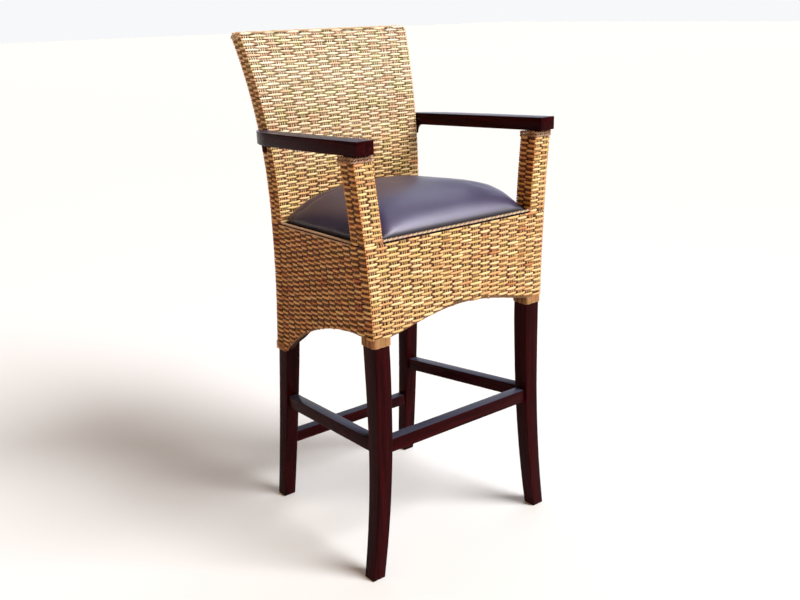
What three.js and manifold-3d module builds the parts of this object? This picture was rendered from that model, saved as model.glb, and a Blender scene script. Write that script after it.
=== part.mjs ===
// Armed bar stool: a hardwood frame with a footrest, woven rope over the seat box, back and arm posts,
// and a padded leather drop-in seat.
// Millimetres. +Z is up, the front faces -Y, and +X is to the right seen from the front. The origin is on
// the floor under the middle of the stool. "left" and "right" are as seen from the front.
import * as THREE from 'three';
import { mergeVertices } from 'three/addons/utils/BufferGeometryUtils.js';
import Module from 'manifold-3d';

const wasm = await Module();
wasm.setup();

// ---- driving dimensions ----
const GAP = 0.3; // between pieces that touch
const WEAVE = 3.5; // thickness of the woven skin
const SKIN_IN = 0.5; // from the wood to the inside of the skin
const SKIN_OUT = SKIN_IN + WEAVE;

// Front leg and arm post, one bar: narrowest at the waist, flaring to the foot and to the arm.
const FRONT = {
  waistZ: 380, waistX: 242, footFlare: 28.7, armFlare: 32.8, armPower: 2.3,
  faceY: -264, lean: 14, armZ: 946, footSize: 33, size: 41, fullSizeZ: 500,
};
// Rear leg and back upright, one bar: it kicks back to the foot and rakes back to the crest.
const REAR = {
  seatX: 205, splay: 12, splayZ: 560, crestFlare: 32, crestPower: 2.5, crestZ: 1166,
  bendZ: 740, bendY: 180, footKick: 45, footPower: 1.9, rake: 81, rakePower: 2.2, rakeRun: 430,
  footSize: 32, size: 38, fullSizeZ: 416,
};
const STRETCHER = { width: 27, tenonWidth: 12, tenonHeight: 16, tenon: 12 };
const FOOTREST = { top: 326, height: 31, faceY: -257 };
const SIDE_STRETCHER = { frontTop: 325.5, rearTop: 292, height: 30, inset: 4 };
const REAR_STRETCHER = { top: 180, height: 28, inset: 4 };

const ARM = { frontY: -265.4, frontTop: 975, slope: -0.044, thickness: 29, width: 43.3, outerX: 275.9 };
// Control points of the arm's outline: distances in from its outer edge, and where along Y they lie.
const ARM_CURVE = {
  bulge: 1, bulgeY: -70, bendIn: 10, bendY: 92, shoulderIn: 20, shoulderY: 156, endY: 185,
  tip: 8, tipCorner: 2, endPast: 6, innerY: -60, innerIn: 3,
};
// Where the arm meets the upright.
const HEEL = { bottom: 905, frontY: 141, depth: 28, width: 8, cove: 19, coveRise: 20 };
const COLLAR = { height: 12.5, out: 3 }; // rope turns under the arm

const RIM = { frontZ: 766, frontY: -258, rearZ: 738, rearY: 137, width: 8, height: 7, endClear: 1 };
const APRON = { // lower edges of the woven seat box
  frontEnd: 562, frontRise: 32, rearEnd: 414, rearRise: 80, archPower: 1.5,
  sideFront: 562, sideDrop: 120, dropPower: 1.8, sideKnee: 28, kneePower: 6,
  overPosts: 1.2, overLegs: 1.22, // half-width of the skin as a share of the arch's
};
const BINDING = {
  frontBottom: 544, frontTop: 561.5, rearBottom: 414, rearTop: 432, out: 1, thickness: 2, short: 4,
};
const RAIL = {
  thickness: 18, below: 4, clear: 1, tenonHeight: 60, tenonWidth: 10, tenonZ: 690, sideTenonZ: 675,
};
// Plywood seat board, its top measured from the rim.
const BOARD = { thickness: 12, top: -4, edge: 9, rearOver: 4 };
const CUSHION = { crown: 82, lip: 4, clear: 7, rearOver: 4, leather: 2 };
// How each edge rises to the crown: more flatness widens the flat top, less roundness steepens the edge.
const CUSHION_EDGE = {
  side: { flatness: 3.2, roundness: 0.75 },
  front: { flatness: 4, roundness: 1 },
  rear: { flatness: 6, roundness: 0.4 },
};
const BACK_RAIL = { thickness: 20, height: 50, zs: [765, 955, 1104], names: ['lower', 'middle', 'crest'] };
const SCREW = { radius: 2.5, head: 4.6, headHeight: 3 };
const BOLT = { radius: 3, head: 5.5, headHeight: 4, length: 62, y: 162, zs: [935, 947.5] };
const DOWEL = { radius: 5, length: 36, shareUp: 0.5 };
const BLOCK = {
  reach: 42, height: 30, screwBack: 12, screwLength: 34, boardScrew: 34, boardScrewIn: 14, boreLength: 40,
};
const THROUGH = 5; // how far a cutter runs past what it cuts

// ---- curves of the frame ----
const lerp = THREE.MathUtils.lerp;

function frontOuterX(z) {
  if (z < FRONT.waistZ) return FRONT.waistX + FRONT.footFlare * (1 - z / FRONT.waistZ) ** 2;
  return FRONT.waistX + FRONT.armFlare * ((z - FRONT.waistZ) / (FRONT.armZ - FRONT.waistZ)) ** FRONT.armPower;
}
const frontFaceY = (z) => FRONT.faceY + FRONT.lean * (z / FRONT.armZ) ** 2;
const frontSize = (z) => lerp(FRONT.footSize, FRONT.size, Math.min(z / FRONT.fullSizeZ, 1));

function rearOuterX(z) {
  if (z < REAR.splayZ) return REAR.seatX + REAR.splay * (1 - z / REAR.splayZ);
  return REAR.seatX + REAR.crestFlare * ((z - REAR.splayZ) / (REAR.crestZ - REAR.splayZ)) ** REAR.crestPower;
}
function rearFaceY(z) {
  if (z < REAR.bendZ) return REAR.bendY + REAR.footKick * (1 - z / REAR.bendZ) ** REAR.footPower;
  return REAR.bendY + REAR.rake * ((z - REAR.bendZ) / REAR.rakeRun) ** REAR.rakePower;
}
const rearSize = (z) => lerp(REAR.footSize, REAR.size, Math.min(z / REAR.fullSizeZ, 1));

const rimZ = (y) => lerp(RIM.frontZ, RIM.rearZ, (y - RIM.frontY) / (RIM.rearY - RIM.frontY));
const armTop = (y) => ARM.frontTop + ARM.slope * (y - ARM.frontY);
const armBottom = (y) => armTop(y) - ARM.thickness;

// ---- shaping helpers ----
// A box of nx by ny by nz cells, each corner (u, v, w) of the unit cube moved by place(point).
function mapped(nx, ny, nz, place) {
  const box = new THREE.BoxGeometry(1, 1, 1, nx, ny, nz).translate(0.5, 0.5, 0.5);
  box.deleteAttribute('normal');
  box.deleteAttribute('uv');
  const geometry = mergeVertices(box);
  const position = geometry.attributes.position;
  const point = new THREE.Vector3();
  for (let i = 0; i < position.count; i += 1) {
    place(point.fromBufferAttribute(position, i));
    position.setXYZ(i, point.x, point.y, point.z);
  }
  return geometry;
}

function plain(geometry) {
  const bare = geometry.clone();
  bare.deleteAttribute('normal');
  bare.deleteAttribute('uv');
  return mergeVertices(bare, 1e-4);
}

function solid(geometry) {
  const bare = plain(geometry);
  return new wasm.Manifold(new wasm.Mesh({
    numProp: 3,
    vertProperties: new Float32Array(bare.attributes.position.array),
    triVerts: new Uint32Array(bare.index.array),
  }));
}

function shapeOf(manifold) {
  const mesh = manifold.getMesh();
  const geometry = new THREE.BufferGeometry();
  geometry.setAttribute('position', new THREE.BufferAttribute(mesh.vertProperties, 3));
  geometry.setIndex(new THREE.BufferAttribute(mesh.triVerts, 1));
  return geometry;
}

function join(first, ...rest) {
  return shapeOf(rest.reduce((whole, part) => whole.add(solid(part)), solid(first)));
}

function cut(first, ...rest) {
  return shapeOf(rest.reduce((whole, part) => whole.subtract(solid(part)), solid(first)));
}

function mirrored(geometry) {
  const other = plain(geometry).scale(-1, 1, 1);
  const index = other.index.array;
  for (let i = 0; i < index.length; i += 3) [index[i], index[i + 1]] = [index[i + 1], index[i]];
  return other;
}

// A straight bar from a to b. Its width lies along `side` and its height along Z, so the ends are flat
// against the faces that it meets.
function bar(a, b, side, width, height) {
  const across = side.clone().multiplyScalar(width);
  const along = b.clone().sub(a);
  const up = new THREE.Vector3(0, 0, height);
  const flip = across.clone().cross(along).dot(up) < 0;
  return mapped(1, 1, 1, (p) => {
    const { x, y, z } = p;
    p.copy(a).addScaledVector(across, (flip ? 1 - x : x) - 0.5).addScaledVector(along, y)
      .addScaledVector(up, z - 0.5);
  });
}

// A bar with a tenon at each end, and the mortises that take them.
function tenoned(a, b, side, width, height) {
  const reach = b.clone().sub(a).normalize();
  const tenon = (length, grow) => bar(
    a.clone().addScaledVector(reach, -length), b.clone().addScaledVector(reach, length),
    side, STRETCHER.tenonWidth + grow, STRETCHER.tenonHeight + grow,
  );
  return {
    shape: join(bar(a, b, side, width, height), tenon(STRETCHER.tenon, 0)),
    mortise: tenon(STRETCHER.tenon + GAP, 2 * GAP),
  };
}

function placed(geometry, position, direction) {
  const turn = new THREE.Quaternion().setFromUnitVectors(Z, direction.clone().normalize());
  return geometry.clone().applyQuaternion(turn).translate(position.x, position.y, position.z);
}

// A pin along +Z from the origin, with a head of its own below it.
function headed(radius, length, head, headHeight, grow = 0) {
  const profile = [
    [0, -headHeight - grow], [head + grow, -headHeight - grow], [head + grow, 0],
    [radius + grow, 0], [radius + grow, length + grow], [0, length + grow],
  ].map(([r, z]) => new THREE.Vector2(r, z));
  return new THREE.LatheGeometry(profile, 12).rotateX(Math.PI / 2);
}

const X = new THREE.Vector3(1, 0, 0);
const Y = new THREE.Vector3(0, 1, 0);
const Z = new THREE.Vector3(0, 0, 1);
const at = (x, y, z) => new THREE.Vector3(x, y, z);

// ---- materials ----
function finish(color, roughness, metalness = 0) {
  return () => new THREE.MeshStandardMaterial({ color, roughness, metalness });
}
const darkWood = finish(0x2a0e0f, 0.28);
const hiddenWood = finish(0xb08a5c, 0.7);
const rope = finish(0xd2a76c, 0.75);
const leather = finish(0x4a3c4c, 0.42);
const foam = finish(0xe8dfc4, 0.95);
const steel = finish(0xb8b8bc, 0.4, 1);

// ---- stretchers ----
function footrest() {
  const z = FOOTREST.top - FOOTREST.height / 2;
  const x = frontOuterX(FOOTREST.top) - frontSize(FOOTREST.top) - GAP;
  const y = FOOTREST.faceY + STRETCHER.width / 2;
  return tenoned(at(-x, y, z), at(x, y, z), Y, STRETCHER.width, FOOTREST.height);
}

function sideStretcher() {
  const drop = SIDE_STRETCHER.height / 2;
  const frontZ = SIDE_STRETCHER.frontTop - drop;
  const rearZ = SIDE_STRETCHER.rearTop - drop;
  const inset = SIDE_STRETCHER.inset + STRETCHER.width / 2;
  const front = at(frontOuterX(frontZ) - inset, postBack(SIDE_STRETCHER.frontTop) + GAP, frontZ);
  const rear = at(rearOuterX(rearZ) - inset, legFront(SIDE_STRETCHER.rearTop) - GAP, rearZ);
  return tenoned(front, rear, X, STRETCHER.width, SIDE_STRETCHER.height);
}

function rearStretcher() {
  const z = REAR_STRETCHER.top - REAR_STRETCHER.height / 2;
  const x = rearOuterX(REAR_STRETCHER.top) - rearSize(REAR_STRETCHER.top) - GAP;
  const y = rearFaceY(z) - REAR_STRETCHER.inset - STRETCHER.width / 2;
  return tenoned(at(-x, y, z), at(x, y, z), Y, STRETCHER.width, REAR_STRETCHER.height);
}

// ---- lower edges of the woven seat box ----
const archRise = (s) => Math.max(0, 1 - s * s) ** APRON.archPower;
const frontEdge = (s) => APRON.frontEnd + APRON.frontRise * archRise(s);
const rearEdge = (s) => APRON.rearEnd + APRON.rearRise * archRise(s);
function sideEdge(t) {
  return APRON.sideFront - APRON.sideDrop * t ** APRON.dropPower - APRON.sideKnee * t ** APRON.kneePower;
}

// ---- seat rails: shaped boards behind the woven skin ----
// Outer face of the side of the seat box at share t from the front post to the rear leg.
const sideX = (t, z) => lerp(frontOuterX(z), rearOuterX(z), t);
const postBack = (z) => frontFaceY(z) + frontSize(z);
const legFront = (z) => rearFaceY(z) - rearSize(z);
const railTop = (y) => rimZ(y) + BOARD.top - BOARD.thickness - GAP;

function tenonBar(a, b, side, length, grow) {
  const reach = b.clone().sub(a).normalize().multiplyScalar(length);
  const width = RAIL.tenonWidth + grow;
  const height = RAIL.tenonHeight + grow;
  return bar(a.clone().sub(reach), b.clone().add(reach), side, width, height);
}

function railWithTenons(board, a, b, side) {
  return {
    shape: join(board, tenonBar(a, b, side, STRETCHER.tenon, 0)),
    mortise: tenonBar(a, b, side, STRETCHER.tenon + GAP, 2 * GAP),
  };
}

function frontRail() {
  const inner = (z) => frontOuterX(z) - frontSize(z) - RAIL.clear;
  const board = mapped(12, 1, 3, (p) => {
    const s = 2 * p.x - 1;
    const z = lerp(frontEdge(s) + RAIL.below, railTop(frontFaceY(RIM.frontZ) + RAIL.thickness), p.z);
    p.set(s * inner(z), frontFaceY(z) + p.y * RAIL.thickness, z);
  });
  const x = inner(RAIL.tenonZ);
  const y = frontFaceY(RAIL.tenonZ) + RAIL.thickness / 2;
  return railWithTenons(board, at(-x, y, RAIL.tenonZ), at(x, y, RAIL.tenonZ), Y);
}

function sideRail() {
  const board = mapped(1, 12, 3, (p) => {
    const t = p.y;
    const topZ = railTop(lerp(postBack(RIM.frontZ), legFront(RIM.rearZ), t));
    const z = lerp(sideEdge(t) + RAIL.below, topZ, p.z);
    const y = lerp(postBack(z) + RAIL.clear, legFront(z) - RAIL.clear, t);
    p.set(sideX(t, z) - RAIL.clear - (1 - p.x) * RAIL.thickness, y, z);
  });
  const z = RAIL.sideTenonZ;
  const inset = RAIL.clear + RAIL.thickness / 2;
  const front = at(sideX(0, z) - inset, postBack(z), z);
  const rear = at(sideX(1, z) - inset, legFront(z), z);
  return railWithTenons(board, front, rear, X);
}

function rearRail() {
  const inner = (z) => rearOuterX(z) - rearSize(z) - RAIL.clear;
  const board = mapped(12, 1, 3, (p) => {
    const s = 2 * p.x - 1;
    const z = lerp(rearEdge(s) + RAIL.below, railTop(RIM.rearY), p.z);
    p.set(s * inner(z), rearFaceY(z) - RAIL.clear - (1 - p.y) * RAIL.thickness, z);
  });
  const x = inner(RAIL.tenonZ);
  const y = rearFaceY(RAIL.tenonZ) - RAIL.clear - RAIL.thickness / 2;
  return railWithTenons(board, at(-x, y, RAIL.tenonZ), at(x, y, RAIL.tenonZ), Y);
}

// ---- rails of the back ----
function backRail(bottom) {
  const x = (z) => rearOuterX(z) - rearSize(z) - GAP;
  const inset = (REAR.size - BACK_RAIL.thickness) / 2;
  const place = (halfWidth, thickness, low, high) => mapped(1, 1, 4, (p) => {
    const z = lerp(low, high, p.z);
    const middle = rearFaceY(z) - inset - BACK_RAIL.thickness / 2;
    p.set((2 * p.x - 1) * halfWidth(z), middle + (p.y - 0.5) * thickness, z);
  });
  const margin = 10;
  const low = bottom + margin;
  const high = bottom + BACK_RAIL.height - margin;
  const tenon = (grow) => place(
    (z) => x(z) + STRETCHER.tenon + grow, STRETCHER.tenonWidth + 2 * grow, low - grow, high + grow,
  );
  return {
    shape: join(place(x, BACK_RAIL.thickness, bottom, bottom + BACK_RAIL.height), tenon(0)),
    mortise: tenon(GAP),
  };
}

// ---- arms ----
function armPlan() {
  const clearX = rearOuterX(ARM.frontTop) + SKIN_OUT + GAP;
  const curve = ARM_CURVE;
  const { tipCorner, endY, endPast } = curve;
  const innerX = ARM.outerX - ARM.width;
  const plan = new THREE.Shape();
  plan.moveTo(innerX, ARM.frontY);
  plan.lineTo(ARM.outerX, ARM.frontY);
  plan.quadraticCurveTo(ARM.outerX + curve.bulge, curve.bulgeY, ARM.outerX - curve.bendIn, curve.bendY);
  plan.quadraticCurveTo(ARM.outerX - curve.shoulderIn, curve.shoulderY, clearX + curve.tip, endY);
  plan.quadraticCurveTo(clearX + tipCorner, endY + tipCorner, clearX, endY - endPast);
  plan.lineTo(clearX, HEEL.frontY - endPast);
  plan.quadraticCurveTo(innerX - curve.innerIn, curve.innerY, innerX, ARM.frontY);
  return plan;
}

function armSlab() {
  const options = { depth: 1, bevelEnabled: false, curveSegments: 8 };
  const slab = plain(new THREE.ExtrudeGeometry(armPlan(), options));
  const position = slab.attributes.position;
  for (let i = 0; i < position.count; i += 1) {
    position.setZ(i, armBottom(position.getY(i)) + position.getZ(i) * ARM.thickness);
  }
  return slab;
}

function armHeel() {
  const clearX = rearOuterX(ARM.frontTop) + SKIN_OUT + GAP;
  const back = HEEL.frontY + HEEL.depth;
  const into = armBottom(back) + ARM.thickness / 2;
  const outline = new THREE.Shape();
  outline.moveTo(HEEL.frontY + HEEL.cove, HEEL.bottom);
  outline.lineTo(back, HEEL.bottom);
  outline.lineTo(back, into);
  outline.lineTo(HEEL.frontY, into);
  outline.lineTo(HEEL.frontY, armBottom(HEEL.frontY));
  const coveY = HEEL.frontY + HEEL.cove;
  outline.quadraticCurveTo(coveY, HEEL.bottom + HEEL.coveRise, coveY, HEEL.bottom);
  const options = { depth: HEEL.width, bevelEnabled: false, curveSegments: 5 };
  const heel = new THREE.ExtrudeGeometry(outline, options);
  const turn = new THREE.Matrix4().makeBasis(Y, Z, X);
  return plain(heel).applyMatrix4(turn).translate(clearX, 0, 0);
}

// ---- bars of the frame ----
function frontLegBar() {
  return mapped(1, 1, 26, (p) => {
    const z = p.z * (armBottom(postBack(FRONT.armZ)) - GAP);
    const size = frontSize(z);
    const y = frontFaceY(z) + p.y * size;
    p.set(frontOuterX(z) - (1 - p.x) * size, y, p.z === 1 ? armBottom(y) - GAP : z);
  });
}

function rearLegBar() {
  const top = REAR.crestZ - GAP;
  return mapped(1, 1, 30, (p) => {
    const z = p.z * top;
    const size = rearSize(z);
    p.set(rearOuterX(z) - (1 - p.x) * size, rearFaceY(z) - (1 - p.y) * size, z);
  });
}

// ---- woven skins ----
// A ring round a post or leg: from `inner` to `outer` beyond the wood, up to the height top(y).
function ringRound(leg, low, top, inner, outer, cells) {
  const block = (out, from, above) => mapped(1, 1, cells, (p) => {
    const footY = leg.faceY(from) - out + p.y * (leg.size(from) + 2 * out);
    const z = lerp(from, top(footY) + above, p.z);
    const width = leg.size(z) + 2 * out;
    p.set(leg.outerX(z) + out - (1 - p.x) * width, leg.faceY(z) - out + p.y * width, z);
  });
  return cut(block(outer, low, 0), block(inner, low - THROUGH, THROUGH));
}

const frontPost = { outerX: frontOuterX, faceY: frontFaceY, size: frontSize };
const rearLeg = { outerX: rearOuterX, faceY: (z) => legFront(z), size: rearSize };
const frontRing = (low, high, out, cells) => ringRound(frontPost, low, () => high, SKIN_IN, out, cells);

// The rear binding turns over the skins on the leg's outer and rear faces only.
function rearBinding() {
  const inner = SKIN_OUT + GAP;
  const outer = inner + BINDING.thickness;
  const ring = ringRound(rearLeg, BINDING.rearBottom, () => BINDING.rearTop, inner, outer, 1);
  const z = (BINDING.rearBottom + BINDING.rearTop) / 2;
  const room = 80;
  const clearOf = (x, y) => new THREE.BoxGeometry(room, room, room).translate(x - room / 2, y - room / 2, z);
  const { outerX, faceY, size } = rearLeg;
  const wide = room / 2;
  const kept = 1; // a little of the corner stays under the turn
  return cut(
    ring,
    clearOf(outerX(z) - kept, rearFaceY(z) - kept),
    clearOf(outerX(z) + wide, faceY(z) + BINDING.short),
    clearOf(outerX(z) - size(z) + BINDING.short, rearFaceY(z) + wide),
  );
}

function frontSkin() {
  return mapped(24, 1, 4, (p) => {
    const s = 2 * p.x - 1;
    const z = lerp(frontEdge(s * APRON.overPosts), RIM.frontZ - RIM.height / 2 - GAP, p.z);
    p.set(s * (frontOuterX(z) + SKIN_OUT), frontFaceY(z) - lerp(SKIN_OUT, SKIN_IN, p.y), z);
  });
}

function rearSkin() {
  return mapped(24, 1, 5, (p) => {
    const s = 2 * p.x - 1;
    const z = lerp(rearEdge(s * APRON.overLegs), RIM.rearZ - GAP, p.z);
    p.set(s * (rearOuterX(z) + SKIN_OUT), rearFaceY(z) + lerp(SKIN_IN, SKIN_OUT, p.y), z);
  });
}

// The side skin lies on the post's outer face, crosses to the rear leg and lies on that.
function sideSkin() {
  const cells = 20;
  const over = 2 / cells;
  return mapped(1, cells, 5, (p) => {
    const t = THREE.MathUtils.clamp((p.y - over) / (1 - 2 * over), 0, 1);
    const topZ = rimZ(lerp(postBack(RIM.frontZ), legFront(RIM.rearZ), t)) - RIM.height / 2 - GAP;
    const z = lerp(sideEdge(t), topZ, p.z);
    const onPost = Math.min(p.y / over, 1);
    const onLeg = Math.max((p.y - 1 + over) / over, 0);
    const front = lerp(frontFaceY(z) - SKIN_IN + GAP, postBack(z), onPost);
    const rear = lerp(legFront(z), rearFaceY(z) + SKIN_IN - GAP, onLeg);
    const y = onPost < 1 ? front : lerp(front, rear, onLeg > 0 ? 1 : t);
    p.set(sideX(t, z) + lerp(SKIN_IN, SKIN_OUT, p.x), y, z);
  });
}

// ---- the back's sleeve: four walls and a crest, open below ----
const sleeveTop = REAR.crestZ + SKIN_IN;
const sleeveX = (p, z) => (2 * p.x - 1) * (rearOuterX(z) + SKIN_OUT);

function sleeveFront() {
  return mapped(1, 1, 14, (p) => {
    const z = lerp(RIM.rearZ, sleeveTop - GAP, p.z);
    p.set(sleeveX(p, z), legFront(z) - lerp(SKIN_OUT, SKIN_IN, p.y), z);
  });
}

function sleeveRear() {
  return mapped(1, 1, 14, (p) => {
    const z = lerp(RIM.rearZ, sleeveTop - GAP, p.z);
    p.set(sleeveX(p, z), rearFaceY(z) + lerp(SKIN_IN, SKIN_OUT, p.y), z);
  });
}

function sleeveSide() {
  return mapped(1, 1, 14, (p) => {
    const z = lerp(RIM.rearZ, sleeveTop - GAP, p.z);
    const y = lerp(legFront(z) - SKIN_IN + GAP, rearFaceY(z) + SKIN_IN - GAP, p.y);
    p.set(rearOuterX(z) + lerp(SKIN_IN, SKIN_OUT, p.x), y, z);
  });
}

function sleeveCrest() {
  return mapped(1, 1, 1, (p) => {
    const z = lerp(sleeveTop, REAR.crestZ + SKIN_OUT + 1, p.z);
    p.set(sleeveX(p, z), lerp(legFront(z) - SKIN_OUT, rearFaceY(z) + SKIN_OUT, p.y), z);
  });
}

// ---- braided rims ----
function braid(a, b) {
  const section = new THREE.Shape().absellipse(0, 0, RIM.height / 2, RIM.width / 2, 0, 2 * Math.PI);
  const path = new THREE.LineCurve3(a, b);
  return new THREE.ExtrudeGeometry(section, { steps: 1, extrudePath: path, curveSegments: 5 });
}

const rimInset = (SKIN_IN + SKIN_OUT) / 2 - RIM.width / 2;
function frontRim() {
  const x = frontOuterX(RIM.frontZ) - frontSize(RIM.frontZ) - SKIN_OUT - GAP;
  const y = frontFaceY(RIM.frontZ) - rimInset;
  return braid(at(-x, y, RIM.frontZ), at(x, y, RIM.frontZ));
}

function sideRim() {
  const inset = RIM.width / 2 - SKIN_OUT;
  const frontY = postBack(RIM.frontZ) + SKIN_OUT + RIM.endClear;
  const rearY = legFront(RIM.rearZ) - SKIN_OUT - RIM.endClear;
  const front = at(frontOuterX(RIM.frontZ) - inset, frontY, rimZ(frontY));
  const rear = at(rearOuterX(RIM.rearZ) - inset, rearY, rimZ(rearY));
  return braid(front, rear);
}

// ---- seat ----
// A crowned block inside the rims: `inset` shrinks it all round, and `drop` lowers its underside.
function crowned(inset, drop, cells) {
  const frontY = frontFaceY(RIM.frontZ) + CUSHION.clear + inset;
  const rearY = legFront(RIM.rearZ) - SKIN_OUT - CUSHION.clear + CUSHION.rearOver - inset;
  const rise = (s, edge) => (1 - Math.min(Math.abs(s), 1) ** edge.flatness) ** edge.roundness;
  const spread = (q) => Math.sin(Math.PI * (q - 0.5));
  return mapped(cells, cells, 2, (p) => {
    const s = spread(p.x);
    const t = spread(p.y);
    const y = lerp(frontY, rearY, (t + 1) / 2);
    const outerX = lerp(frontOuterX(RIM.frontZ), rearOuterX(RIM.rearZ), (t + 1) / 2);
    const halfWidth = outerX - CUSHION.clear - inset;
    const under = rimZ(y) + BOARD.top + GAP - drop;
    const bulge = rise(s, CUSHION_EDGE.side) * rise(t, t < 0 ? CUSHION_EDGE.front : CUSHION_EDGE.rear);
    const over = rimZ(y) + CUSHION.lip + (CUSHION.crown - CUSHION.lip) * bulge - inset;
    p.set(s * halfWidth, y, lerp(under, over, p.z));
  });
}

function postNotches(grow) {
  const room = 120;
  const x = frontOuterX(RIM.frontZ) - FRONT.size - SKIN_OUT - GAP - grow + room / 2;
  const y = postBack(RIM.frontZ + CUSHION.crown) + SKIN_OUT + GAP + grow - room / 2;
  const notch = (side) => new THREE.BoxGeometry(room, room, 2 * room).translate(side * x, y, RIM.frontZ);
  return [notch(-1), notch(1)];
}

function seatBoard() {
  const frontY = frontFaceY(RIM.frontZ) + BOARD.edge;
  const rearY = legFront(RIM.rearZ) - BOARD.edge + BOARD.rearOver;
  const board = mapped(1, 1, 1, (p) => {
    const y = lerp(frontY, rearY, p.y);
    const halfWidth = lerp(frontOuterX(RIM.frontZ), rearOuterX(RIM.rearZ), p.y) - BOARD.edge;
    p.set((2 * p.x - 1) * halfWidth, y, rimZ(y) + BOARD.top - (1 - p.z) * BOARD.thickness);
  });
  return cut(board, ...postNotches(GAP));
}

// ---- corner blocks: glued into the seat frame's inner corners and screwed to the legs ----
// `toward` is +1 at the front legs and -1 at the rear legs: the way from the leg to the middle of the seat.
function corner(toward) {
  const front = toward > 0;
  const legX = front ? frontOuterX : rearOuterX;
  const size = front ? frontSize : rearSize;
  const faceY = front ? postBack : legFront;
  const frontRailY = (z) => frontFaceY(z) + RAIL.thickness;
  const rearRailY = (z) => rearFaceY(z) - RAIL.clear - RAIL.thickness;
  const railY = front ? frontRailY : rearRailY;
  const farY = faceY(RIM.rearZ) + toward * BLOCK.reach;
  const top = railTop(Math.max(farY, faceY(RIM.rearZ))) - GAP;
  const low = top - BLOCK.height;
  const x = legX(low) - size(low) - GAP;
  const y = faceY(front ? top : low) + toward * GAP;
  const outer = railY(front ? top : low) + toward * GAP;
  const share = (atY) => (atY - postBack(low)) / (legFront(low) - postBack(low));
  const side = (atY) => sideX(share(atY), low) - RAIL.clear - RAIL.thickness - 2 * GAP;
  return { x, y, outer, farY, top, low, nearX: side(y), farX: side(farY), toward };
}

function cornerBlock(c) {
  const plan = new THREE.Shape();
  plan.moveTo(c.x - BLOCK.reach, c.outer);
  plan.lineTo(c.x, c.outer);
  plan.lineTo(c.x, c.y);
  plan.lineTo(c.nearX, c.y);
  plan.lineTo(c.farX, c.farY);
  plan.closePath();
  const block = new THREE.ExtrudeGeometry(plan, { depth: BLOCK.height, bevelEnabled: false });
  return plain(block).translate(0, 0, c.low);
}

// The screw from the block's long face into the leg, and the one up into the seat board.
function blockScrew(c, grow) {
  const into = at(1, -c.toward, 0).normalize();
  const start = at(c.x, c.y, (c.top + c.low) / 2).addScaledVector(into, -BLOCK.screwBack);
  return placed(headed(SCREW.radius, BLOCK.screwLength, SCREW.head, SCREW.headHeight, grow), start, into);
}

function boardScrew(c, grow) {
  const inset = BLOCK.boardScrewIn;
  const start = at(c.x - inset, c.outer + c.toward * inset, c.low + SCREW.headHeight + 1);
  return placed(headed(SCREW.radius, BLOCK.boardScrew, SCREW.head, SCREW.headHeight, grow), start, Z);
}

// Clears the way that a screw's head comes in by.
function counterbore(c) {
  const into = at(1, -c.toward, 0).normalize();
  const start = at(c.x, c.y, (c.top + c.low) / 2).addScaledVector(into, -BLOCK.screwBack);
  const radius = SCREW.head + 1;
  const bore = new THREE.CylinderGeometry(radius, radius, BLOCK.boreLength, 12).rotateX(Math.PI / 2);
  return placed(bore, start.addScaledVector(into, -BLOCK.boreLength / 2 - SCREW.headHeight), into);
}

// ---- fixings of the arm ----
function armBolt(z, grow) {
  const start = at(rearOuterX(z) - REAR.size - SKIN_IN, BOLT.y, z);
  return placed(headed(BOLT.radius, BOLT.length, BOLT.head, BOLT.headHeight, grow), start, X);
}

function armDowel(grow) {
  const z = armBottom(postBack(FRONT.armZ)) - DOWEL.length / 2;
  const x = frontOuterX(FRONT.armZ) - FRONT.size / 2;
  const y = frontFaceY(FRONT.armZ) + FRONT.size / 2;
  const radius = DOWEL.radius + grow;
  const peg = new THREE.CylinderGeometry(radius, radius, DOWEL.length + 2 * grow, 12);
  return peg.rotateX(Math.PI / 2).translate(x, y, z + DOWEL.length * DOWEL.shareUp);
}

// ---- assembly ----
const stool = new THREE.Group();

function add(name, geometry, material) {
  const bare = plain(geometry);
  bare.computeVertexNormals();
  const mesh = new THREE.Mesh(bare, material());
  mesh.name = name;
  stool.add(mesh);
}

// One piece on the right and its mirror image on the left.
function addPair(name, geometry, material) {
  add(`${name}_right`, geometry, material);
  add(`${name}_left`, mirrored(geometry), material);
}

const rails = { front: frontRail(), side: sideRail(), rear: rearRail() };
const stretchers = { front: footrest(), side: sideStretcher(), rear: rearStretcher() };
const backRails = BACK_RAIL.zs.map(backRail);
const corners = { front: corner(1), rear: corner(-1) };
const arm = join(armSlab(), armHeel());

add('front_footrest', stretchers.front.shape, darkWood);
add('rear_stretcher', stretchers.rear.shape, darkWood);
addPair('side_stretcher', stretchers.side.shape, darkWood);

addPair('front_leg', cut(
  frontLegBar(), stretchers.front.mortise, stretchers.side.mortise, rails.front.mortise, rails.side.mortise,
  blockScrew(corners.front, GAP), armDowel(GAP),
), darkWood);
addPair('rear_leg', cut(
  rearLegBar(), stretchers.rear.mortise, stretchers.side.mortise, rails.rear.mortise, rails.side.mortise,
  blockScrew(corners.rear, GAP), ...backRails.map((rail) => rail.mortise),
  ...BOLT.zs.map((z) => armBolt(z, GAP)),
), darkWood);

add('seat_rail_front', rails.front.shape, hiddenWood);
add('seat_rail_rear', rails.rear.shape, hiddenWood);
addPair('seat_rail', rails.side.shape, hiddenWood);
BACK_RAIL.names.forEach((name, i) => add(`back_rail_${name}`, backRails[i].shape, hiddenWood));

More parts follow.
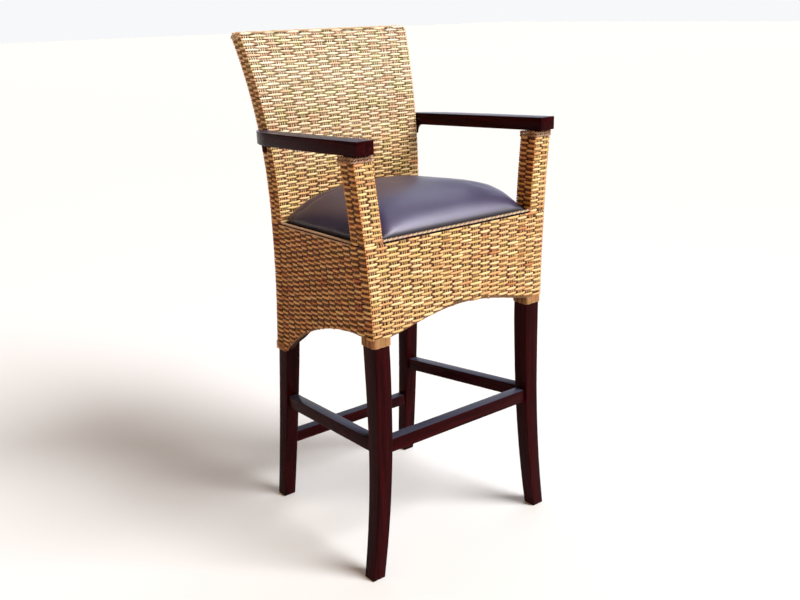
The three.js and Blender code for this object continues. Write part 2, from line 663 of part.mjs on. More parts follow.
for (const [end, c] of Object.entries(corners)) {
  const block = cut(cornerBlock(c), blockScrew(c, GAP), counterbore(c), boardScrew(c, GAP));
  addPair(`corner_block_${end}`, block, hiddenWood);
  addPair(`corner_screw_${end}`, blockScrew(c, 0), steel);
  addPair(`board_screw_${end}`, boardScrew(c, 0), steel);
}
const screwHoles = Object.values(corners).flatMap((c) => {
  const hole = boardScrew(c, GAP);
  return [hole, mirrored(hole)];
});
add('seat_board', cut(seatBoard(), ...screwHoles), hiddenWood);
add('seat_foam', cut(crowned(CUSHION.leather + GAP, 0, 12), ...postNotches(CUSHION.leather + 2 * GAP)), foam);
add('seat_cover', cut(
  cut(crowned(0, -GAP, 12), ...postNotches(GAP)),
  cut(crowned(CUSHION.leather, 10, 12), ...postNotches(CUSHION.leather + GAP)),
), leather);

addPair('arm', cut(arm, armDowel(GAP), ...BOLT.zs.map((z) => armBolt(z, GAP))), darkWood);
addPair('arm_dowel', armDowel(0), hiddenWood);
BOLT.zs.forEach((z, i) => addPair(`arm_bolt_${i + 1}`, armBolt(z, 0), steel));

const collarLow = armBottom(postBack(FRONT.armZ)) - COLLAR.height;
addPair('arm_collar', ringRound(
  frontPost, collarLow, (y) => armBottom(y) - GAP, SKIN_IN, SKIN_OUT + COLLAR.out, 1,
), rope);
addPair('post_weave', frontRing(RIM.frontZ - RIM.height / 2, collarLow - GAP, SKIN_OUT, 8), rope);
addPair('front_binding', frontRing(BINDING.frontBottom, BINDING.frontTop, SKIN_OUT + BINDING.out, 1), rope);
addPair('rear_binding', rearBinding(), rope);

add('front_weave', frontSkin(), rope);
add('rear_weave', rearSkin(), rope);
addPair('side_weave', sideSkin(), rope);
const sleeveHoles = BOLT.zs.map((z) => armBolt(z, GAP));
add('back_weave_front', cut(sleeveFront(), ...sleeveHoles, ...sleeveHoles.map(mirrored)), rope);
add('back_weave_rear', sleeveRear(), rope);
add('back_weave_crest', sleeveCrest(), rope);
addPair('back_weave_side', cut(sleeveSide(), ...sleeveHoles), rope);

add('front_rim', frontRim(), rope);
addPair('side_rim', sideRim(), rope);

export default stool;
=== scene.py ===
"""An armed bar stool: dark hardwood, plain-woven rope over the seat box, back and arm posts, and a crowned
leather cushion. The weave is made of real strands that pass over and under upright stakes."""

import functools
import math
import random
from types import SimpleNamespace

import bmesh
import bpy
import numpy as np
from mathutils import Matrix, Vector


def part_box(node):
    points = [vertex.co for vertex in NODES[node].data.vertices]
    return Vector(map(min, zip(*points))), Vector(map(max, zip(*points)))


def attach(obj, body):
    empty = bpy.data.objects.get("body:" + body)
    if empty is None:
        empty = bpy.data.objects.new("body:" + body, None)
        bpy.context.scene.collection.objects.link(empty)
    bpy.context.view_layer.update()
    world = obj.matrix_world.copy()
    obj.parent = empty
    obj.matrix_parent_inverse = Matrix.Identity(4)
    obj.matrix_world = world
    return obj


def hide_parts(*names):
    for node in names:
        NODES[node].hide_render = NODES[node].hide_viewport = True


MM = 0.001
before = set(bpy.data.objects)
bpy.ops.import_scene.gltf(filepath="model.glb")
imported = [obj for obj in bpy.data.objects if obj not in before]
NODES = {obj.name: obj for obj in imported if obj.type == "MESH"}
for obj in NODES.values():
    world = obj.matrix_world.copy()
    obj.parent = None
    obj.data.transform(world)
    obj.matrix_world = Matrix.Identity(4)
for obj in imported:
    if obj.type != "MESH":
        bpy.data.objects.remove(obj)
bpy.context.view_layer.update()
SEED = 7
rng = np.random.default_rng(SEED)


def mm(others=None, **sizes):
    """Named sizes in metres, given in millimetres, along with other named values."""
    return SimpleNamespace(**{key: size * MM for key, size in sizes.items()}, **(others or {}))


# ---- driving sizes ----
SIDES_OF = (("right", 1), ("left", -1))
X, Y, Z = np.array([1.0, 0, 0]), np.array([0, 1.0, 0]), np.array([0, 0, 1.0])
ROUND = [X, Y, -X, -Y]  # which way a row runs on each face of a box, from its front on

SKIN = 4.0 * MM  # from the wood to the outside of the weave
ROW_PITCH = 5.9 * MM
ROW_STRAY = 0.2 * MM  # how far a row is off its even height
SAMPLES = 10  # along a strand, between two stakes
SIDES = 8  # round a strand
CORNER = 5.5 * MM  # radius of a strand where it turns a corner
CORNER_REACH = 6 * MM  # how far each side of a corner every row stays in front
CORNER_SHADE = SimpleNamespace(loss=0.9, power=0.4)  # of a strand's own tint
STRAND_OVER = mm(out=-1.6, thick=1.9, high=3.0)  # where it passes in front of a stake
STRAND_UNDER = mm(out=-4.7, thick=1.1, high=2.5)  # where it passes behind one
DRIFT = SimpleNamespace(size=0.09, pace=2.3, shift=0.07)  # of the weave along a row, in stakes
FLOAT_SAG = 1.6 * MM  # most difference in height between two floats of a row
FLOAT_FAT = SimpleNamespace(least=0.84, spread=0.28)  # a float's height against the usual one
STAKE = mm(
    dict(cords=3, sway_pace=160, tint=0.15, tint_spread=0.5, depth=0.5),
    out=-3.1, radius=1.35, spacing=5.4, stray=0.9, sway=0.7,
)
STAKE_POINTS = 16
SIDE_DIVE_SHADE = 0.7  # painted shade: how much sooner a strand darkens as it dives, on faces that look sideways

BACK_STAKES = {"front": 15, "side": 2}
BACK_BANDS = 3  # pieces that the back's weave is made in
BACK_MARGIN = 1.5 * MM  # from the first and last row to the ends of the back
CREST_ROUND = 13 * MM  # radius of the back's top corners
CREST_SHRINK = 5 * MM  # most that the top draws in from front to rear
CREST_MARGIN = 4 * MM  # kept free of the crest's rows and of stakes
OUTLINE_LIMIT, CREST_LIMIT = 0.985, 0.98  # share of the rounding that a row still follows
CREST_ROWS = 500  # added to the crest's row numbers, for shades of its own

RIM = mm(front=766, rear=738, rear_y=137)  # height of the seat box's top
BOX_STAKES = {"front": 18, "side": 15, "rear": 14}
FIRST_ROW = 1.15  # of the seat box, in rows below its rim
ROWS_PAST = 10 * MM  # how far past a skin's height rows are tried
STAKE_STEP = mm(first=4, next=8, clear=1)  # of a box stake's points, down from the rim
EDGE_ROOM = 0.6 * MM  # between the lowest row and the shaped lower edge
EDGE_CLEAR = 20 * MM  # ends of a skin, where its corner leans
POST_STAKES = 2  # on each face of an arm post

PLY = SimpleNamespace(steps=9, out=0.48, radius=0.56, contrast=0.5, stray=0.1, depth=0.9)  # of a rope; contrast makes one ply paler than the other, painted light and shade for the twist's lumps and grooves
RIM_LAY = 13 * MM
FRONT_RIM = mm(dict(tint=0.4), behind=2.6, below=1.4, radius=2.9)
SIDE_RIM = mm(width=8, middle=3.5)
SIDE_RIM_ROPES = mm(lift=1.6, inset=3.2, radius=2.9), mm(lift=-4.0, inset=0.4, radius=1.9)
EDGE_ROPES = mm(lift=1.9, inset=1.7, radius=2.1), mm(lift=4.6, inset=4.4, radius=2.7)
EDGE_ROPE = mm(dict(points=40), lay=9, band=2, end=42, rear_end=38)
WINDINGS = {
    "arm_collar": mm(dict(turns=2, slope=-0.044), radius=3.5, lay=15, rise=-1.2, inset=0),
    "front_binding": mm(dict(turns=8, slope=0), radius=1.6, lay=30, rise=4, inset=1.7),
}
REAR_BINDING = mm(dict(turns=7, corner_cut=1.6), radius=1.5, lay=30, rise=2, sunk=1.8, corner=3)

LEG = mm(dict(arc_points=5, crease=50), rounding=2.2, chamfer=1.2, plain_from=8)
LEG_LEVELS = {"front": 44, "rear": 56}
SOFTEN = mm(dict(flat=0.02, sharp=0.5, segments=3, crease=40), merge=0.01, room=3)
BAR_EDGE, ARM_EDGE = 1.6 * MM, 2.4 * MM  # width of the rounding

CUSHION = mm(crown=82, lip=7, tuck=9, below=8, edge=8, front_y=-248.5, rear_y=135.5)
CUSHION_SIDE, CUSHION_FRONT, CUSHION_REAR = (3.4, 0.64), (4.0, 0.85), (6.0, 0.4)  # flatness, roundness
CUSHION_CELLS = 90
CUSHION_VOXEL = 5 * MM
NOTCH = mm(dict(power=0.5), clear=2.5, fall_clear=2, fall=34)  # round an arm post
FOOT = mm(height=21, beside=20)  # how far the dull, painted-shade crease reaches up the cushion
CLOTH = dict(
    quality=6, mass=0.3, use_pressure=True, uniform_pressure_force=4, vertex_group_mass="fixed",
    tension_stiffness=18, compression_stiffness=18, bending_stiffness=0.8,
)
CLOTH_FRAMES = 20
CLOTH_CAP = 5 * MM  # the furthest that a point of the cushion may move
CLOTH_FIXED = mm(below=2, over=16)  # height over which fixed points become free

# ---- shades ----
WHITE = (1, 1, 1)
# each rope's pale, mid and rich shades, and the painted shade of its gaps, where a strand dives behind a
# stake
ROPES = {
    "seat_box_rope": ((1.0, 0.8, 0.47), (0.84, 0.55, 0.25), (0.58, 0.23, 0.07), (0.11, 0.04, 0.009)),
    "back_rope": ((1.0, 0.8, 0.47), (0.86, 0.6, 0.29), (0.66, 0.33, 0.13), (0.16, 0.09, 0.04)),
    "trim_rope": ((0.7, 0.43, 0.21), (0.55, 0.3, 0.13), (0.44, 0.22, 0.08), (0.3, 0.2, 0.12)),
    "rim_rope": ((1.0, 0.86, 0.7), (0.62, 0.45, 0.34), (0.22, 0.13, 0.09), (0.3, 0.2, 0.15)),
    "edge_rope": ((0.5, 0.33, 0.17), (0.34, 0.19, 0.09), (0.16, 0.08, 0.04), (0.2, 0.12, 0.07)),
    "collar_rope": ((0.9, 0.74, 0.6), (0.5, 0.33, 0.23), (0.2, 0.1, 0.07), (0.3, 0.2, 0.15)),
}
FADES = {"back_rope": (0.84, 1.05)}  # heights between which a rope turns to these paler shades
# the upper back's pale, mid and rich shades, and the lighter painted shade of its gaps
UPPER_SHADES = ((1.0, 0.96, 0.84), (0.97, 0.87, 0.67), (0.8, 0.62, 0.42), (0.42, 0.33, 0.24))
MAHOGANY = {"dark": (0.007, 0.0006, 0.001), "light": (0.034, 0.002, 0.003), "roughness": 0.25}
FRAME_WOOD = {"dark": (0.022, 0.009, 0.005), "light": (0.06, 0.026, 0.014), "roughness": 0.6}
# painted sheen: a pale bluish reflection painted on faces that look up
TOP_SHEEN = (0.05, 0.052, 0.085)
WORLD_FACING = (0.75, 0.65, 0.1)  # towards the bright side
WORLD_WARM, WORLD_DARK, WORLD_BRIGHT = (0.42, 0.25, 0.11), (0.03, 0.025, 0.04), (1.15, 1.2, 1.3)
BACKDROP = (0.93, 0.94, 0.95)

CAMERA = {"azimuth": -38.072, "elevation": 17.610, "roll": -1.408, "lens": 42.144}
CAMERA_PLACE = (-1.31831, -1.72117, 1.22592)


# ---- reading the frame ----
@functools.cache
def node_box(name):
    """The lowest and highest corner of a CAD node."""
    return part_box(name)


def node_span(name):
    """The lowest and highest x and y of a CAD node."""
    low, high = node_box(name)
    return low.x, high.x, low.y, high.y


@functools.cache
def segments(name):
    """The two ends of every edge of a CAD node."""
    mesh = NODES[name].data
    points = np.array([v.co for v in mesh.vertices])
    ends = np.array([e.vertices for e in mesh.edges])
    return points[ends[:, 0]], points[ends[:, 1]]


def cut_at(name, axis, value):
    """Where the plane axis = value crosses the edges of a CAD node."""
    a, b = segments(name)
    inside = 0.01 * MM
    low = min(a[:, axis].min(), b[:, axis].min()) + inside
    high = max(a[:, axis].max(), b[:, axis].max()) - inside
    value = min(max(value, low), high)
    crosses = (a[:, axis] <= value) != (b[:, axis] <= value)
    a, b = a[crosses], b[crosses]
    share = (value - a[:, axis]) / (b[:, axis] - a[:, axis])
    return a + (b - a) * share[:, None]


class Extents:
    """The lowest and highest x and y of a CAD node at any height."""

    def __init__(self, name, count=70):
        low, high = node_box(name)
        self.z = np.linspace(low.z, high.z, count)
        cuts = [cut_at(name, 2, z) for z in self.z]
        self.low = np.array([c.min(0) for c in cuts])
        self.high = np.array([c.max(0) for c in cuts])

    def at(self, z):
        """x low, x high, y low, y high at height z, which may be an array."""
        return [np.interp(z, self.z, ends[:, k]) for k in (0, 1) for ends in (self.low, self.high)]


def lower_edge(name, axis, count=60):
    """The lowest height of a CAD skin along x or y, as a function."""
    low, high = node_box(name)
    places = np.linspace(low[axis] + EDGE_CLEAR, high[axis] - EDGE_CLEAR, count)
    heights = [cut_at(name, axis, p)[:, 2].min() for p in places]
    return lambda p: np.interp(p, places, heights)


FRONT_LEG = Extents("front_leg_right")
REAR_LEG = Extents("rear_leg_right")
POST = Extents("post_weave_right")
BACK_FRONT, BACK_REAR = Extents("back_weave_front"), Extents("back_weave_rear")


# ---- paths ----
def unit(v):
    return v / np.maximum(np.linalg.norm(v, axis=-1, keepdims=True), 1e-12)


def smooth(share):
    """An even slope from 0 to 1, eased at both ends."""
    return share * share * (3 - 2 * share)


def travelled(points):
    """How far along a path each of its points is."""
    step = np.linalg.norm(np.diff(points, axis=0), axis=1)
    return np.concatenate([[0], np.cumsum(step)])


def even(points, spacing):
    """The same path with its points about `spacing` apart."""
    at = travelled(points)
    places = np.linspace(0, at[-1], max(3, round(at[-1] / spacing)))
    return np.stack([np.interp(places, at, points[:, k]) for k in range(3)], 1)


def straight(a, b, u):
    """Points from a to b, one for each stake coordinate."""
    share = ((u - u[0]) / (u[-1] - u[0]))[:, None]
    return np.array(a) * (1 - share) + np.array(b) * share


def counter(start, stakes):
    """Stake coordinates of the samples along a face. Corners lie midway between two stakes."""
    return np.linspace(start - 0.5, start + stakes - 0.5, stakes * SAMPLES + 1)


def corners_of(low_x, high_x, low_y, high_y, z):
    """The corners of a level rectangle, anticlockwise from the front left one."""
    return [(low_x, low_y, z), (high_x, low_y, z), (high_x, high_y, z), (low_x, high_y, z)]


def mirror_box(box, sign):
    """A right-hand box of x and y, or its mirror image where sign is -1."""
    low_x, high_x, low_y, high_y = box
    return (low_x, high_x, low_y, high_y) if sign > 0 else (-high_x, -low_x, low_y, high_y)


def turned(points, before, after):
    """A face's path from corner to corner, rounded into its neighbours' directions at both ends."""
    points = points.copy()
    start, end = points[0].copy(), points[-1].copy()
    first = unit(points[1] - points[0])
    last = unit(points[-1] - points[-2])
    for corner, incoming, leaving, near_end in ((start, before, first, False), (end, last, after, True)):
        distance = np.linalg.norm(points - corner, axis=1)
        near = distance < CORNER
        share = distance[near] / CORNER
        q = (0.5 * (1 - share) if near_end else 0.5 + 0.5 * share)[:, None]
        a, b = corner - incoming * CORNER, corner + leaving * CORNER
        points[near] = (1 - q) ** 2 * a + 2 * q * (1 - q) * corner + q ** 2 * b
    return points


def outward(points, before, after):
    """The level normal of a path that runs anticlockwise seen from above."""
    along = np.gradient(points, axis=0)
    along[0] = unit(before) + unit(along[0])
    along[-1] = unit(along[-1]) + unit(after)
    flat = np.stack([along[:, 1], -along[:, 0], np.zeros(len(points))], 1)
    return unit(flat)


def corner_hold(points):
    """1 at the ends of a face, where a row lies on the corner, falling to 0 inside."""
    at = travelled(points)
    near = np.minimum(at, at[-1] - at)
    return smooth(np.clip(1 - near / CORNER_REACH, 0, 1))


def face_row(path, turn):
    """A face's path with its ends turned, its outward normals and its hold at the corners."""
    before, after = ROUND[turn - 1], ROUND[(turn + 1) % 4]
    line = turned(path, before, after)
    return line, outward(line, before, after), corner_hold(path)


def ring(corners, stakes):
    """A closed row round four corners: its points, outward normals, stake coordinates and corner holds."""
    parts = []
    start = 0
    for k in range(4):
        u = counter(start, stakes[k])
        line, normal, hold = face_row(straight(corners[k], corners[(k + 1) % 4], u), k)
        parts.append((line[:-1], normal[:-1], u[:-1], hold[:-1]))
        start += stakes[k]
    return [np.concatenate(column) for column in zip(*parts)]


# ---- strands ----
class Strands:
    """Collects swept strands into one mesh, with the values that its material reads."""

    def __init__(self):
        self.points, self.faces, self.count = [], [], 0
        self.values = {"tint": [], "depth": [], "side": [], "upper": []}
        self.along = []

    def sweep(self, centres, out, up, thick, high, tint, depth, closed=False):
        """One strand: `thick` is half its size along `out`, and `high` half its size along `up`."""
        n = len(centres)
        angle = math.pi + 2 * math.pi * (np.arange(SIDES) + 0.5) / SIDES
        loops = (
            centres[:, None]
            + out[:, None] * (thick[:, None] * np.cos(angle))[..., None]
            + up[:, None] * (high[:, None] * np.sin(angle))[..., None]
        )
        self.points.append(loops.reshape(-1, 3))
        side = np.abs(out[:, 0])
        # painted shade: on faces that look sideways a strand darkens sooner as it dives
        shaded_depth = depth * (1 - SIDE_DIVE_SHADE * side * (1 - depth))
        for key, value in (("tint", tint), ("depth", shaded_depth), ("side", side)):
            self.values[key].append(np.repeat(value, SIDES))
        self.values["upper"].append(np.tile(0.5 + 0.5 * np.sin(angle), n))
        along = np.repeat(travelled(centres), SIDES)
        self.along.append(np.stack([along, np.tile(angle, n), np.zeros(n * SIDES)], 1))
        i = np.arange(n if closed else n - 1)[:, None]
        j = np.arange(SIDES)[None]
        following = (i + 1) % n
        k = (j + 1) % SIDES
        quads = np.stack(np.broadcast_arrays(
            i * SIDES + j, following * SIDES + j, following * SIDES + k, i * SIDES + k,
        ), -1).reshape(-1, 4) + self.count
        self.faces.extend(quads.tolist())
        if not closed:
            self.faces.append([self.count + s for s in range(SIDES)])
            self.faces.append([self.count + (n - 1) * SIDES + s for s in reversed(range(SIDES))])
        self.count += n * SIDES

    def make(self, name, rope, *replaced):
        """The strands as one named piece, in place of the CAD nodes `replaced`."""
        mesh = bpy.data.meshes.new(name)
        mesh.from_pydata(np.concatenate(self.points).tolist(), [], self.faces)
        for key, values in self.values.items():
            mesh.attributes.new(key, "FLOAT", "POINT")
            mesh.attributes[key].data.foreach_set("value", np.concatenate(values).astype(np.float32))
        mesh.attributes.new("strand", "FLOAT_VECTOR", "POINT")
        along = np.concatenate(self.along).astype(np.float32).ravel()
        mesh.attributes["strand"].data.foreach_set("vector", along)
        shade_smooth(mesh)
        return placed(mesh, name, ropes[rope], "rope", *replaced)


def shade_smooth(mesh):
    mesh.polygons.foreach_set("use_smooth", np.ones(len(mesh.polygons), bool))


def placed(mesh, name, material, slot, *replaced):
    """A mesh as a named piece of the stool."""
    piece = bpy.data.objects.new(name, mesh)
    bpy.context.scene.collection.objects.link(piece)
    mesh.materials.append(material)
    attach(piece, "root")
    if replaced:
        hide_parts(*replaced)
    return piece


def float_values(u, row, salt):
    """One value from 0 to 1 for each float, the stretch of a row in front of one stake."""
    index = np.round(u).astype(int) * 131 + row * 7919 + salt * 104729  # primes, so that seeds don't repeat
    return np.array([random.Random(int(i)).random() for i in index])


def between(key, over):
    """A measure of a strand: `over` is 0 where it passes behind a stake and 1 where it passes in front."""
    under, front = getattr(STRAND_UNDER, key), getattr(STRAND_OVER, key)
    return under + (front - under) * over


def weave_row(strands, points, normal, u, row, hold, keep=None):
    """A row of the plain weave along a path, closed where `keep` is None. u counts the stakes it passes."""
    shift = rng.uniform(0, 2 * np.pi)
    drift = DRIFT.size * np.sin(DRIFT.pace * u + shift) + rng.uniform(-DRIFT.shift, DRIFT.shift)
    wave = 0.5 + 0.5 * np.cos(np.pi * (u + drift + row))
    over = np.maximum(smooth(wave), hold)
    up = np.tile(Z, (len(points), 1))
    sag = (float_values(u, row, 1) - 0.5) * wave * FLOAT_SAG
    centres = points + normal * between("out", over)[:, None] + up * sag[:, None]
    fat = FLOAT_FAT.least + FLOAT_FAT.spread * float_values(u, row, 2)
    thick, high = between("thick", over), between("high", over) * (1 + (fat - 1) * wave)
    tint = float_values(u, row, 0) * (1 - CORNER_SHADE.loss * hold ** CORNER_SHADE.power)
    if keep is None:
        strands.sweep(centres, normal, up, thick, high, tint, over, closed=True)
        return
    starts = np.flatnonzero(keep & ~np.concatenate([[False], keep[:-1]]))
    ends = np.flatnonzero(keep & ~np.concatenate([keep[1:], [False]]))
    for a, b in zip(starts, ends):
        if b - a < 3:
            continue
        part = slice(a, b + 1)
        strands.sweep(centres[part], normal[part], up[part], thick[part], high[part], tint[part], over[part])


def stake(strands, points, direction):
    """An upright stake: a flat group of cords that the rows, which run in `direction`, pass on both sides."""
    across = np.tile(direction, (len(points), 1))
    normal = np.stack([across[:, 1], -across[:, 0], across[:, 2]], 1)
    radius = np.full(len(points), STAKE.radius)
    depth = np.full(len(points), STAKE.depth)
    for cord in range(STAKE.cords):
        shift = (cord - (STAKE.cords - 1) / 2) * STAKE.spacing + rng.uniform(-1, 1) * STAKE.stray
        sway = STAKE.sway * np.sin(points[:, 2] * STAKE.sway_pace + rng.uniform(0, 2 * np.pi))
        centres = points + normal * STAKE.out + across * (shift + sway)[:, None]
        tint = np.full(len(points), STAKE.tint + STAKE.tint_spread * rng.random())
        strands.sweep(centres, normal, -across, radius, radius, tint, depth)


# ---- materials ----
MIX_A, MIX_B, MIX_RESULT = 6, 7, 2  # the colour sockets of a Mix node


def material(name):
    """A new material, its node tree and its main shader."""
    m = bpy.data.materials.new(name)
    m.use_nodes = True
    tree = m.node_tree
    shader = next(n for n in tree.nodes if n.type == "BSDF_PRINCIPLED")
    return m, tree, shader


def node(tree, kind, **settings):
    """A new node. Each setting is one of its inputs, or else one of its own properties."""
    made = tree.nodes.new(kind)
    for key, value in settings.items():
        if key in made.inputs:
            made.inputs[key].default_value = value
        else:
            setattr(made, key, value)
    return made


def link(source, target):
    source.id_data.links.new(source, target)


def ramp(source, *stops):
    """The colour read from (place, colour) stops at `source`."""
    made = node(source.id_data, "ShaderNodeValToRGB")
    elements = made.color_ramp.elements
    while len(elements) < len(stops):
        elements.new(0.5)
    for element, (place, colour) in zip(elements, stops):
        element.position = place
        element.color = (*colour, 1)
    link(source, made.inputs["Fac"])
    return made.outputs["Color"]


def spread(source, low=0.0, high=1.0, to_low=0.0, to_high=1.0):
    """A value that goes from to_low to to_high as `source` goes from low to high."""
    made = node(source.id_data, "ShaderNodeMapRange")
    for key, value in (("From Min", low), ("From Max", high), ("To Min", to_low), ("To Max", to_high)):
        made.inputs[key].default_value = value
    link(source, made.inputs["Value"])
    return made.outputs["Result"]


def mixed(factor, a, b):
    """The colour a where `factor` is 0 and b where it is 1. b is a socket or a plain colour."""
    made = node(factor.id_data, "ShaderNodeMix", data_type="RGBA")
    link(factor, made.inputs["Factor"])
    link(a, made.inputs[MIX_A])
    if isinstance(b, tuple):
        made.inputs[MIX_B].default_value = (*b, 1)
    else:
        link(b, made.inputs[MIX_B])
    return made.outputs[MIX_RESULT]


def multiply(first, *others):
    """The product of some colours."""
    for other in others:
        made = node(first.id_data, "ShaderNodeMix", data_type="RGBA", blend_type="MULTIPLY")
        made.inputs["Factor"].default_value = 1
        link(first, made.inputs[MIX_A])
        link(other, made.inputs[MIX_B])
        first = made.outputs[MIX_RESULT]
    return first


def bump(shader, height, strength, distance):
    made = node(height.id_data, "ShaderNodeBump", Strength=strength, Distance=distance)
    link(height, made.inputs["Height"])
    link(made.outputs["Normal"], shader.inputs["Normal"])


def attribute(tree, name, output="Fac"):
    """A value that the mesh holds for each point."""
    return node(tree, "ShaderNodeAttribute", attribute_name=name).outputs[output]


def object_place(tree):
    return node(tree, "ShaderNodeTexCoord").outputs["Object"]


def scaled(vector, scale):
    """A vector stretched by a scale for each axis."""
    made = node(vector.id_data, "ShaderNodeMapping", Scale=scale)
    link(vector, made.inputs["Vector"])
    return made.outputs["Vector"]


def z_of(vector):
    made = node(vector.id_data, "ShaderNodeSeparateXYZ")
    link(vector, made.inputs[0])
    return made.outputs["Z"]


def noise(vector, **settings):
    """Cloudy noise over a vector."""
    made = node(vector.id_data, "ShaderNodeTexNoise", **settings)
    link(vector, made.inputs["Vector"])
    return made.outputs["Fac"]


def rope_material(name, shades):
    """Twisted plant-fibre rope. Each float has its own shade. Painted shade darkens it where it dives behind
    a stake, on its underside and on faces that look sideways.
    """
    m, tree, shader = material(name)
    tint, depth, place = attribute(tree, "tint"), attribute(tree, "depth"), object_place(tree)
    pale, mid, rich, gap_shade = shades
    colour = ramp(tint, (0.0, rich), (0.14, mid), (0.55, mid), (1.0, pale))
    # painted shade: a strand darkens towards its gap colour where it dives behind a stake
    dive_shade = ramp(depth, (0.0, gap_shade), (0.2, gap_shade), (0.56, WHITE))
    if name in FADES:
        height = spread(z_of(place), *FADES[name])
        pale, mid, rich, gap_shade = UPPER_SHADES
        colour = mixed(height, colour, ramp(tint, (0.0, rich), (0.2, mid), (1.0, pale)))
        dive_shade = mixed(height, dive_shade, ramp(depth, (0.0, gap_shade), (0.2, gap_shade), (0.56, WHITE)))
    patches = noise(place, Scale=38.0, Detail=3.0)
    stains = ramp(patches, (0.36, (1.0, 0.84, 0.8)), (0.5, WHITE), (0.64, (0.9, 0.96, 0.78)))
    # painted shade: the lower half of each strand's round is darker
    underside_shade = ramp(
        attribute(tree, "upper"), (0.0, (0.5, 0.36, 0.24)), (0.3, (0.8, 0.72, 0.62)), (0.6, WHITE),
    )
    # painted shade: faces that look sideways are made darker and warmer
    shade = ramp(attribute(tree, "side"), (0.25, WHITE), (0.85, (1.0, 0.78, 0.56)))
    twist = node(
        tree, "ShaderNodeTexWave", Scale=1.0, Distortion=1.2, Detail=2.0, bands_direction="DIAGONAL",
    )
    fibres = scaled(attribute(tree, "strand", "Vector"), (160, 1.6, 1))
    link(fibres, twist.inputs["Vector"])
    streaks = ramp(twist.outputs["Fac"], (0.0, (0.78, 0.74, 0.68)), (1.0, WHITE))
    colour = multiply(colour, stains, dive_shade, underside_shade, shade, streaks)
    link(colour, shader.inputs["Base Color"])
    bump(shader, twist.outputs["Fac"], 0.5, 0.6 * MM)
    shader.inputs["Roughness"].default_value = 0.6
    return m


def wood_material(name, axis, dark, light, roughness):
    """Lacquered wood, its grain along one axis, with a painted pale bluish sheen, a painted reflection, on
    faces that look up.
    """
    m, tree, shader = material(name)
    scale = [95.0, 95.0, 95.0]
    scale[axis] = 4.5
    stretch = scaled(object_place(tree), scale)
    grain = noise(stretch, Scale=1.0, Detail=5.0, Roughness=0.65, Distortion=0.4)
    tones = ramp(grain, (0.32, dark), (0.72, light))
    facing = tree.nodes.new("ShaderNodeNewGeometry").outputs["Normal"]
    upward = spread(z_of(facing), 0.8, 0.97)
    # painted reflection: faces that look up turn pale bluish
    link(mixed(upward, tones, TOP_SHEEN), shader.inputs["Base Color"])
    gloss = spread(grain, to_low=roughness - 0.05, to_high=roughness + 0.07)
    link(gloss, shader.inputs["Roughness"])
    bump(shader, grain, 0.12, 0.4 * MM)
    shader.inputs["Specular IOR Level"].default_value = 0.03
    return m


def leather_material():
    """Smooth dark leather, finely pitted, and dull in the crease at its foot, where painted shade darkens it.
    """
    m, tree, shader = material("plum_leather")
    place = object_place(tree)
    cells = node(tree, "ShaderNodeTexVoronoi", Scale=620.0, feature="DISTANCE_TO_EDGE")
    link(place, cells.inputs["Vector"])
    wear = noise(place, Scale=9.0, Detail=4.0)
    foot = attribute(tree, "foot")
    tones = ramp(wear, (0.3, (0.024, 0.019, 0.06)), (0.75, (0.04, 0.033, 0.09)))
    # painted shade: the base colour darkens to near black in the crease at the cushion's foot
    crease_shade = ramp(foot, (0.0, (0.02, 0.02, 0.02)), (0.5, (0.1, 0.09, 0.09)), (1.0, WHITE))
    link(multiply(tones, crease_shade), shader.inputs["Base Color"])
    pits = ramp(cells.outputs["Distance"], (0.0, (0, 0, 0)), (0.12, WHITE))
    bump(shader, pits, 0.12, 0.2 * MM)
    total = node(tree, "ShaderNodeMath", operation="ADD")
    link(spread(wear, to_low=0.34, to_high=0.42), total.inputs[0])
    link(spread(foot, high=0.7, to_low=0.5, to_high=0.0), total.inputs[1])
    link(total.outputs["Value"], shader.inputs["Roughness"])
    shader.inputs["Specular IOR Level"].default_value = 1.0
    shader.inputs["Specular Tint"].default_value = (0.85, 0.83, 1.0, 1)
    return m


def speckled_material(name, scale, dark, light, roughness, metallic=0):
    """One colour, slightly uneven."""
    m, tree, shader = material(name)
    cloud = node(tree, "ShaderNodeTexNoise", Scale=scale)
    tones = ramp(cloud.outputs["Fac"], (0.3, dark), (0.7, light))
    link(tones, shader.inputs["Base Color"])
    shader.inputs["Metallic"].default_value = metallic
    shader.inputs["Roughness"].default_value = roughness
    return m


ropes = {name: rope_material(name, shades) for name, shades in ROPES.items()}
wood = {axis: wood_material(f"mahogany_{'xyz'[axis]}", axis, **MAHOGANY) for axis in range(3)}
raw_wood = wood_material("stained_frame_wood", 0, **FRAME_WOOD)
leather = leather_material()
steel = speckled_material("zinc_steel", 400.0, (0.42, 0.42, 0.44), (0.6, 0.6, 0.62), 0.4, metallic=1)
pale_floor = speckled_material("pale_floor", 3.0, (0.78, 0.8, 0.83), (0.8, 0.82, 0.85), 0.9)


# ---- the back's sleeve ----
def rounded_in(past, limit):
    """How far the back's top corner draws in, at a distance past where its rounding starts."""
    share = np.clip(past / CREST_ROUND, 0, limit)
    return CREST_ROUND * (1 - np.sqrt(1 - share ** 2))


def back_corners(z):
    """The sleeve's outline, drawn in near the top to round its upper corners."""
    low_x, high_x, low_y, _ = BACK_FRONT.at(z)
    high_y = BACK_REAR.at(z)[3]
    top = node_box("back_weave_crest")[1].z
    inset = rounded_in(z - (top - CREST_ROUND), OUTLINE_LIMIT)
    shrink = min(inset, CREST_SHRINK)
    return corners_of(low_x + inset, high_x - inset, low_y + shrink, high_y - shrink, z)


def weave_rings(strands, corners_at, stakes, heights, first=0):
    """Closed rows round four corners, one at each height."""
    for row, z in enumerate(heights, first):
        points, normal, u, hold = ring(corners_at(z), stakes)
        weave_row(strands, points, normal, u, row, hold)


